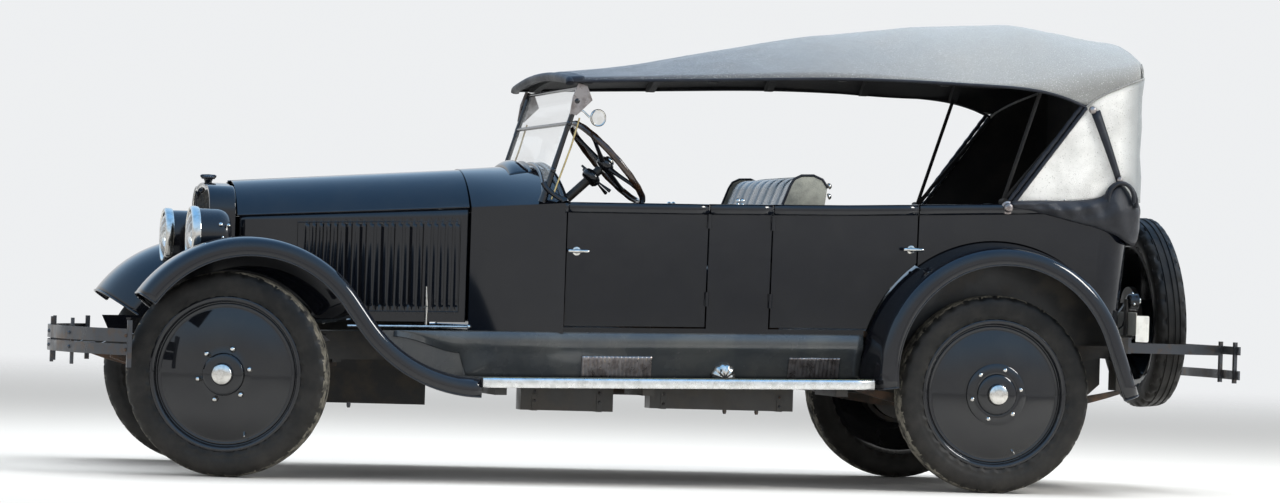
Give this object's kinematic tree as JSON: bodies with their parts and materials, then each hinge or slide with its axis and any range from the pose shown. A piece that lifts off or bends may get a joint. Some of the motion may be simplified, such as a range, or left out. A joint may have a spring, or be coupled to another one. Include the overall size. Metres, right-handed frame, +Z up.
{
  "type": "1920s touring car",
  "caption": "Open four-door touring car with raised fabric top, disc wheels, louvred bonnet, running boards, bar bumpers and a rear spare wheel; wheels roll and steer, doors and bonnet open.",
  "frame": {"origin": "on the ground under the middle of the car's box", "axes": "+X towards the rear, +Y towards the car's right side, +Z up; the car faces -X"},
  "size_m": [5.1198, 1.855, 2.045],
  "materials": {
    "body_paint": "gloss black enamel, dusty low down",
    "chassis_paint": "dull black, worn",
    "wheel_paint": "gloss black enamel",
    "tyre": "worn black rubber with brown dust",
    "bumper_steel": "dull weathered steel",
    "top_fabric": "coated black pebble-grained top cloth",
    "leather": "pleated blue-black leather",
    "glass": "clear plate glass",
    "lamp_glass": "fluted lens",
    "wood": "stained ash",
    "rim_wood": "dark varnished walnut",
    "iron": "oily cast iron",
    "spring_steel": "rusty spring steel",
    "core": "blackened brass honeycomb",
    "board_mat": "ribbed black mat with an aluminium edge"
  },
  "bodies": {
    "chassis": {"frame_rails": "chassis_paint", "board_brackets": "chassis_paint", "spare_carrier": "chassis_paint", "front_axle": "chassis_paint", "rear_axle": "chassis_paint", "leaf_springs": "spring_steel", "engine_block": "iron", "exhaust": "chassis_paint", "fuel_tank": "chassis_paint", "under_boxes": "chassis_paint", "front_bumper": "bumper_steel", "rear_bumper": "bumper_steel", "tail_lamp": "chassis_paint", "spare_tyre": "tyre", "spare_disc": "wheel_paint", "radiator_shell": "body_paint", "radiator_core": "core", "headlamps": "body_paint", "headlamp_lenses": "lamp_glass", "front_fenders": "body_paint", "rear_fenders": "body_paint", "running_boards": "board_mat", "splash_aprons": "body_paint", "body_cowl": "body_paint", "body_floor": "wood", "body_sides": "body_paint", "body_rear": "body_paint", "front_seat": "leather", "rear_seat": "leather", "windshield_frame": "body_paint", "window_glass": "glass", "steering_column": "body_paint", "roof_canopy": "top_fabric", "roof_bows": "wood"},
    "steering_wheel": {"steering_wheel": "rim_wood"},
    "tie_rod": {"tie_rod": "chassis_paint"},
    "knuckle_left": {"knuckle_left": "chassis_paint"},
    "wheel_front_left": {"tyre_front_left": "tyre", "disc_front_left": "wheel_paint"},
    "wheel_rear_left": {"tyre_rear_left": "tyre", "disc_rear_left": "wheel_paint"},
    "door_front_left": {"door_front_left": "body_paint"},
    "door_rear_left": {"door_rear_left": "body_paint"},
    "bonnet_top_left": {"bonnet_top_left": "body_paint"},
    "bonnet_side_left": {"bonnet_side_left": "body_paint"},
    "knuckle_right": {"knuckle_right": "chassis_paint"},
    "wheel_front_right": {"tyre_front_right": "tyre", "disc_front_right": "wheel_paint"},
    "wheel_rear_right": {"tyre_rear_right": "tyre", "disc_rear_right": "wheel_paint"},
    "door_front_right": {"door_front_right": "body_paint"},
    "door_rear_right": {"door_rear_right": "body_paint"},
    "bonnet_top_right": {"bonnet_top_right": "body_paint"},
    "bonnet_side_right": {"bonnet_side_right": "body_paint"}
  },
  "joints": [
    {"name": "steer_left", "type": "hinge", "parent": "chassis", "child": "knuckle_left", "pos_m": [-1.86, -0.625, 0.4225], "axis": [0, 0, 1], "range_deg": [-8, 52]},
    {"name": "roll_front_left", "type": "hinge", "parent": "knuckle_left", "child": "wheel_front_left", "pos_m": [-1.89559, -0.71308, 0.4225], "axis": [0.3746, 0.9272, 0], "continuous": true},
    {"name": "roll_rear_left", "type": "hinge", "parent": "chassis", "child": "wheel_rear_left", "pos_m": [1.39, -0.72, 0.4225], "axis": [0, 1, 0], "continuous": true},
    {"name": "door_front_left_swing", "type": "hinge", "parent": "chassis", "child": "door_front_left", "pos_m": [0.145, -0.62989, 0.7], "axis": [0, -0.0338, 0.9994], "range_deg": [0, 68]},
    {"name": "door_rear_left_swing", "type": "hinge", "parent": "chassis", "child": "door_rear_left", "pos_m": [0.419, -0.64793, 0.7], "axis": [0, 0.0338, -0.9994], "range_deg": [0, 68]},
    {"name": "bonnet_top_left_lift", "type": "hinge", "parent": "chassis", "child": "bonnet_top_left", "pos_m": [-1.822, 0, 1.22835], "axis": [-0.9967, 0, -0.0815], "range_deg": [0, 65]},
    {"name": "bonnet_side_left_fold", "type": "hinge", "parent": "bonnet_top_left", "child": "bonnet_side_left", "pos_m": [-1.814, -0.28, 1.083], "axis": [-0.9948, 0.0763, -0.0681], "range_deg": [-65, 0]},
    {"name": "steer_right", "type": "hinge", "parent": "chassis", "child": "knuckle_right", "pos_m": [-1.86, 0.625, 0.4225], "axis": [0, 0, 1], "range_deg": [-8, 52]},
    {"name": "roll_front_right", "type": "hinge", "parent": "knuckle_right", "child": "wheel_front_right", "pos_m": [-1.82441, 0.71308, 0.4225], "axis": [0.3746, 0.9272, 0], "continuous": true},
    {"name": "roll_rear_right", "type": "hinge", "parent": "chassis", "child": "wheel_rear_right", "pos_m": [1.39, 0.72, 0.4225], "axis": [0, 1, 0], "continuous": true},
    {"name": "door_front_right_swing", "type": "hinge", "parent": "chassis", "child": "door_front_right", "pos_m": [0.145, 0.62989, 0.7], "axis": [0, -0.0338, -0.9994], "range_deg": [0, 68]},
    {"name": "door_rear_right_swing", "type": "hinge", "parent": "chassis", "child": "door_rear_right", "pos_m": [0.419, 0.64793, 0.7], "axis": [0, 0.0338, 0.9994], "range_deg": [0, 68]},
    {"name": "bonnet_top_right_lift", "type": "hinge", "parent": "chassis", "child": "bonnet_top_right", "pos_m": [-1.822, 0, 1.22835], "axis": [0.9967, 0, 0.0815], "range_deg": [0, 65]},
    {"name": "bonnet_side_right_fold", "type": "hinge", "parent": "bonnet_top_right", "child": "bonnet_side_right", "pos_m": [-1.814, 0.28, 1.083], "axis": [0.9948, 0.0763, 0.0681], "range_deg": [-65, 0]},
    {"name": "tie_rod_pivot", "type": "hinge", "parent": "knuckle_left", "child": "tie_rod", "pos_m": [-1.71165, -0.68494, 0.3486], "axis": [0, 0, 1], "range_deg": [-52, 8]},
    {"name": "steering_wheel_turn", "type": "hinge", "parent": "chassis", "child": "steering_wheel", "pos_m": [-0.24, -0.345, 1.36], "axis": [0.7314, 0, 0.682], "range_deg": [-80, 520]}
  ],
  "couplings": [
    {"joint": "bonnet_side_left_fold", "follows": "bonnet_top_left_lift", "ratio": -1},
    {"joint": "bonnet_side_right_fold", "follows": "bonnet_top_right_lift", "ratio": -1},
    {"joint": "steer_right", "follows": "steer_left", "ratio": 1},
    {"joint": "tie_rod_pivot", "follows": "steer_left", "ratio": -1},
    {"joint": "steering_wheel_turn", "follows": "steer_left", "ratio": 10}
  ]
}
